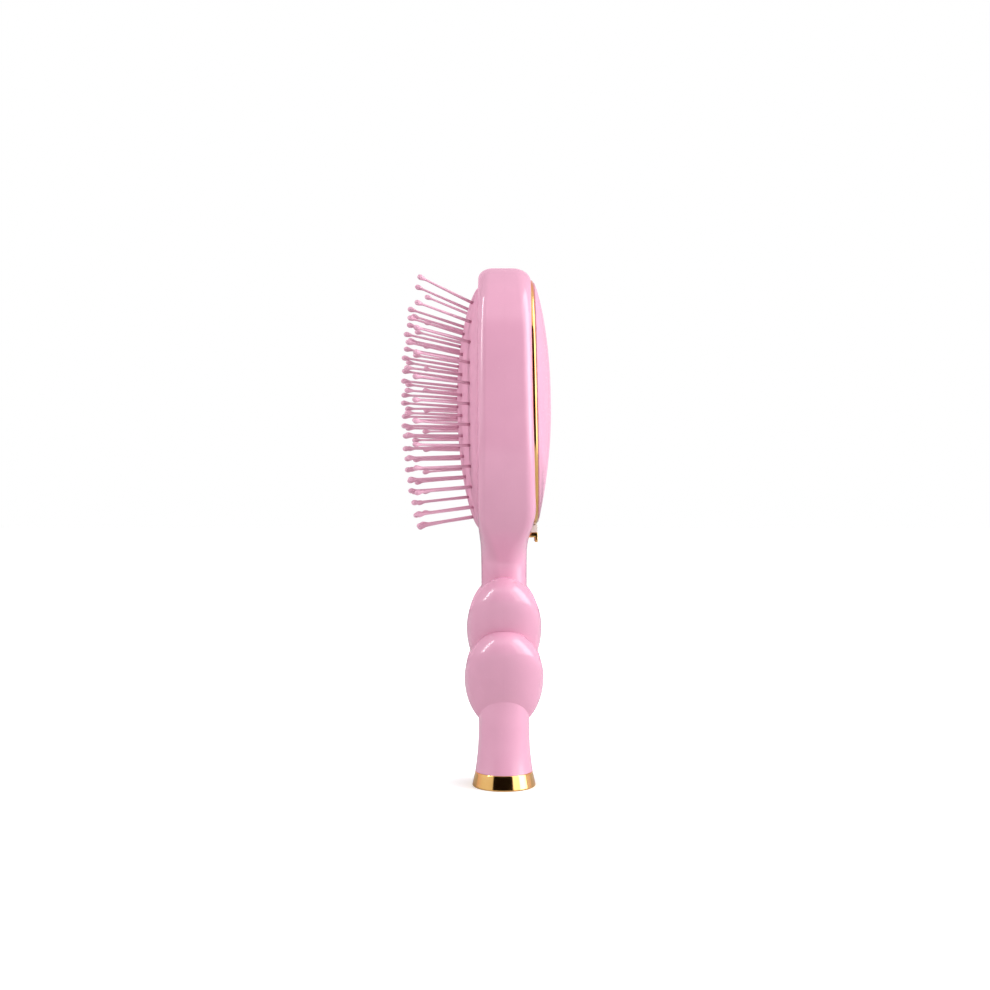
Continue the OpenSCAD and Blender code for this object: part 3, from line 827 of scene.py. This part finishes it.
def noise(made, scale, detail=3.0, roughness=0.5, stretch=(1, 1, 1)):
    tree = made.node_tree
    place = tree.nodes.new("ShaderNodeTexCoord")
    mapping = tree.nodes.new("ShaderNodeMapping")
    mapping.inputs["Scale"].default_value = stretch
    texture = tree.nodes.new("ShaderNodeTexNoise")
    texture.inputs["Scale"].default_value = scale
    texture.inputs["Detail"].default_value = detail
    texture.inputs["Roughness"].default_value = roughness
    tree.links.new(place.outputs["Object"], mapping.inputs["Vector"])
    tree.links.new(mapping.outputs["Vector"], texture.inputs["Vector"])
    return texture.outputs["Fac"]


def map_range(tree, value, from_low, from_high, low, high):
    """value spread from its own range to the range from low to high."""
    node = tree.nodes.new("ShaderNodeMapRange")
    node.inputs["From Min"].default_value = from_low
    node.inputs["From Max"].default_value = from_high
    node.inputs["To Min"].default_value = low
    node.inputs["To Max"].default_value = high
    tree.links.new(value, node.inputs["Value"])
    return node.outputs["Result"]


def ramp(made, value, low, high):
    """The colour between low and high that goes with a noise."""
    node = made.node_tree.nodes.new("ShaderNodeValToRGB")
    node.color_ramp.elements[0].position = NOISE_LOW
    node.color_ramp.elements[1].position = NOISE_HIGH
    node.color_ramp.elements[0].color = (*linear(*low), 1)
    node.color_ramp.elements[1].color = (*linear(*high), 1)
    made.node_tree.links.new(value, node.inputs["Fac"])
    return node.outputs["Color"]


def link(made, output, socket):
    shader = made.node_tree.nodes["Principled BSDF"]
    made.node_tree.links.new(output, shader.inputs[socket])


def tone(made, value, low, high):
    """Lets the colour vary between low and high."""
    link(made, ramp(made, value, low, high), "Base Color")


def gloss(made, value, low, high):
    """Lets the roughness vary between low and high."""
    spread = map_range(made.node_tree, value, NOISE_LOW, NOISE_HIGH, low, high)
    link(made, spread, "Roughness")


def bump(made, height, strength, distance, before=None):
    node = made.node_tree.nodes.new("ShaderNodeBump")
    node.inputs["Strength"].default_value = strength
    node.inputs["Distance"].default_value = distance
    made.node_tree.links.new(height, node.inputs["Height"])
    if before is not None:
        made.node_tree.links.new(before, node.inputs["Normal"])
    return node.outputs["Normal"]


def shell_material():
    """Glossy pink plastic: faint clouding, fine handling haze, a soft moulded waviness."""
    made = material(
        "shell_pink",
        linear(229, 166, 193),
        0.3,
        coat=0.75,
        coat_roughness=0.14,
        specular=0.25,
    )
    tone(made, noise(made, 60, 2), (227, 164, 191), (231, 168, 195))
    gloss(made, noise(made, 900, 4, 0.6), 0.21, 0.28)
    fine = bump(made, noise(made, 5200, 2), 0.05, 0.00002)
    link(made, bump(made, noise(made, 90, 1), 0.1, 0.00004, fine), "Normal")
    return made


def rubber_material():
    """Satin rubber of the same pink, with a fine grain."""
    made = material("cushion_pink", linear(226, 163, 190), 0.5, specular=0.4)
    tone(made, noise(made, 300, 4), (222, 159, 186), (230, 168, 194))
    gloss(made, noise(made, 2500, 3), 0.44, 0.56)
    link(made, bump(made, noise(made, 2600, 4, 0.65), 0.35, 0.00006), "Normal")
    return made


def pin_material():
    """Nylon: semi-gloss, with drawn streaks, and painted shade where the pins leave the rubber.
    """
    made = material("nylon_pink", linear(229, 172, 196), 0.36, specular=0.45)
    streaks = noise(made, 700, 3, 0.5, (0.12, 1, 1))
    drawn = ramp(made, streaks, (225, 166, 191), (233, 178, 201))
    # The root attribute mixes in a darker pink: painted shade near the rubber
    root = made.node_tree.nodes.new("ShaderNodeAttribute")
    root.attribute_name = "root"
    shaded = made.node_tree.nodes.new("ShaderNodeMix")
    shaded.data_type = "RGBA"
    made.node_tree.links.new(root.outputs["Fac"], shaded.inputs["Factor"])
    made.node_tree.links.new(drawn, shaded.inputs["A"])
    shaded.inputs["B"].default_value = (*linear(168, 100, 126), 1)
    link(made, shaded.outputs["Result"], "Base Color")
    gloss(made, noise(made, 1800, 2), 0.3, 0.42)
    link(made, bump(made, streaks, 0.15, 0.00005), "Normal")
    return made


def gold_material():
    """Plated gold, polished, with faint swirls from buffing."""
    made = material("gold_plate", linear(226, 180, 112), 0.1, metallic=1)
    tone(made, noise(made, 120, 3), (221, 172, 101), (233, 189, 122))
    gloss(made, noise(made, 1500, 4, 0.7, (1, 1, 0.08)), 0.06, 0.15)
    link(made, bump(made, noise(made, 260, 2), 0.12, 0.00008), "Normal")
    return made


def pale_material():
    made = material("pale_insert", linear(226, 218, 208), 0.3, coat=0.3)
    tone(made, noise(made, 500, 3), (221, 212, 201), (231, 224, 215))
    gloss(made, noise(made, 1500, 3), 0.25, 0.36)
    return made


def frame_material():
    made = material("frame_plastic", linear(206, 160, 182), 0.55)
    tone(made, noise(made, 400, 3), (200, 154, 176), (212, 167, 188))
    link(made, bump(made, noise(made, 3000, 3), 0.3, 0.00005), "Normal")
    return made


def steel_material():
    made = material("screw_steel", linear(186, 188, 192), 0.3, metallic=1)
    gloss(made, noise(made, 2200, 3, 0.6, (1, 1, 0.2)), 0.22, 0.4)
    return made


def dress(made, finish, body=None, stands_for=()):
    made.data.materials.clear()
    made.data.materials.append(finish)
    if body:
        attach(made, body)
        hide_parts(*stands_for)
    return made


def build_brush():
    shell = shell_material()
    rubber = rubber_material()
    nylon = pin_material()
    gold = gold_material()
    dress(front_shell(), shell, "handle", ["front_half"])
    dress(back_shell(), shell, "handle", ["back_half"])
    dress(cover(), shell, "handle", ["back_cover"])
    dress(trim_ring(), gold, "handle", ["trim_ring"])
    dress(end_cap(), gold, "handle", ["end_cap"])
    dress(tab_insert(), pale_material(), "handle", ["tab_insert"])
    pad = dress(cushion(), rubber, "handle", ["cushion"])
    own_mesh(pad)
    chance = random.Random(PIN_SEED)
    for index, step in enumerate(ROW_STEPS, start=1):
        pins = pin_row(index, step, chance)
        dress(pins, nylon, f"pins_{index:02d}", [f"pin_row_{index:02d}"])
    dress(frame["nodes"]["cushion_frame"], frame_material())
    dress(frame["nodes"]["frame_screws"], steel_material())


# Floor, world, lamps and the dark card, in metres

# The floor's own glow towards the camera, at the cap and away from it. The weaker glow at the
# cap is a painted shadow.
FLOOR_HALF = 4.0
PAINTED_SHADOW_GLOW, GLOW_FAR = 0.4, 0.88
GLOW_START = CAP_RADIUS * MM
GLOW_END = CAP_RADIUS * 3 * MM

# How bright the world is to matt surfaces, from below and from above, the tint of what the
# brush reflects from behind it, and over which part of the sky both change
AMBIENT_LOW, AMBIENT_HIGH = 2.1, 0.0
BEHIND_TINT = linear(252, 205, 225)
SKY_SPREAD = 0.7

# The lamps: place, size and power. They look at the brush's middle.
LAMP_TARGET = (0, 0, 0.11)
LAMPS = {
    "right_tall": ((0.85, -0.2, 0.55), (0.6, 1.3), 8.4),
    "right_front": ((0.75, -0.45, 0.5), (0.9, 1.3), 4.5),
    "left_strip": ((-0.62, -0.27, 0.55), (0.08, 0.65), 3.2),
}

# The dark room behind the camera: how far it reaches left, right and up, and its distance
DARK_LEFT, DARK_RIGHT, DARK_TOP, DARK_BACK = -0.56, 0.40, 0.65, -0.62


def sheet(name, corners, finish):
    """A flat part of the studio."""
    mesh = bpy.data.meshes.new(name)
    mesh.from_pydata(corners, [], [(0, 1, 2, 3)])
    mesh.materials.append(finish)
    return add_object(name, mesh)


def maths(tree, operation, first, second):
    """Two values combined, and kept from 0 to 1."""
    node = tree.nodes.new("ShaderNodeMath")
    node.operation = operation
    node.use_clamp = True
    tree.links.new(first, node.inputs[0])
    tree.links.new(second, node.inputs[1])
    return node.outputs[0]


def light_paths(tree, *kinds):
    """1 for rays of the kinds named, else 0."""
    path = tree.nodes.new("ShaderNodeLightPath")
    found = path.outputs[kinds[0]]
    for kind in kinds[1:]:
        found = maths(tree, "MAXIMUM", found, path.outputs[kind])
    return found


def floor():
    """A pale floor that the camera sees as white, its glow weaker round the cap as a painted
    shadow.
    """
    finish = material("white_floor", (0.8, 0.8, 0.8), 0.9, specular=0.1)
    tree = finish.node_tree
    matt = tree.nodes["Principled BSDF"].outputs["BSDF"]
    place = tree.nodes.new("ShaderNodeTexCoord")
    reach = tree.nodes.new("ShaderNodeVectorMath")
    reach.operation = "LENGTH"
    tree.links.new(place.outputs["Object"], reach.inputs[0])
    glow = tree.nodes.new("ShaderNodeEmission")
    # Weaker glow round the cap: a painted shadow
    strength = map_range(
        tree, reach.outputs["Value"], GLOW_START, GLOW_END, PAINTED_SHADOW_GLOW, GLOW_FAR
    )
    tree.links.new(strength, glow.inputs["Strength"])
    both = tree.nodes.new("ShaderNodeAddShader")
    tree.links.new(matt, both.inputs[0])
    tree.links.new(glow.outputs["Emission"], both.inputs[1])
    pick = tree.nodes.new("ShaderNodeMixShader")
    seen = light_paths(tree, "Is Camera Ray", "Is Transmission Ray")
    tree.links.new(seen, pick.inputs["Fac"])
    tree.links.new(matt, pick.inputs[1])
    tree.links.new(both.outputs["Shader"], pick.inputs[2])
    tree.links.new(pick.outputs["Shader"], tree.nodes["Material Output"].inputs["Surface"])
    h = FLOOR_HALF
    made = sheet("floor", [(-h, -h, 0), (h, -h, 0), (h, h, 0), (-h, h, 0)], finish)


def world():
    """White to the camera and in reflections, brighter from below to matt surfaces."""
    made = bpy.data.worlds.new("studio")
    made.use_nodes = True
    bpy.context.scene.world = made
    tree = made.node_tree
    background = tree.nodes["Background"]
    place = tree.nodes.new("ShaderNodeTexCoord")
    split = tree.nodes.new("ShaderNodeSeparateXYZ")
    tree.links.new(place.outputs["Generated"], split.inputs["Vector"])

    def spread(axis, low, high):
        return map_range(tree, split.outputs[axis], -SKY_SPREAD, SKY_SPREAD, low, high)

    tint = tree.nodes.new("ShaderNodeMix")
    tint.data_type = "RGBA"
    behind = maths(tree, "MULTIPLY", spread("Y", -1, 1), light_paths(tree, "Is Glossy Ray"))
    tree.links.new(behind, tint.inputs["Factor"])
    tint.inputs["A"].default_value = (1, 1, 1, 1)
    tint.inputs["B"].default_value = (*BEHIND_TINT, 1)
    tree.links.new(tint.outputs["Result"], background.inputs["Color"])
    strength = tree.nodes.new("ShaderNodeMix")
    white = light_paths(tree, "Is Camera Ray", "Is Transmission Ray", "Is Glossy Ray")
    tree.links.new(white, strength.inputs["Factor"])
    tree.links.new(spread("Z", AMBIENT_LOW, AMBIENT_HIGH), strength.inputs["A"])
    strength.inputs["B"].default_value = 1
    tree.links.new(strength.outputs["Result"], background.inputs["Strength"])


def lamps():
    for name, (place, size, power) in LAMPS.items():
        data = bpy.data.lights.new(name, "AREA")
        data.shape = "RECTANGLE"
        data.size, data.size_y = size
        data.energy = power
        made = add_object(name, data)
        made.location = place
        aim = Vector(LAMP_TARGET) - Vector(place)
        made.rotation_euler = aim.to_track_quat("-Z", "Y").to_euler()


def dark_card():
    """The dark room behind the camera, seen only in reflections."""
    finish = material("dark_card", (0.01, 0.006, 0.004), 1, specular=0)
    sides = [(DARK_LEFT, 0), (DARK_RIGHT, 0), (DARK_RIGHT, DARK_TOP), (DARK_LEFT, DARK_TOP)]
    made = sheet("dark_card", [(x, DARK_BACK, z) for x, z in sides], finish)
    made.visible_camera = False
    made.visible_diffuse = False
    made.visible_shadow = False


camera()
build_brush()
floor()
world()
lamps()
dark_card()
bpy.context.scene.view_settings.view_transform = "Standard"
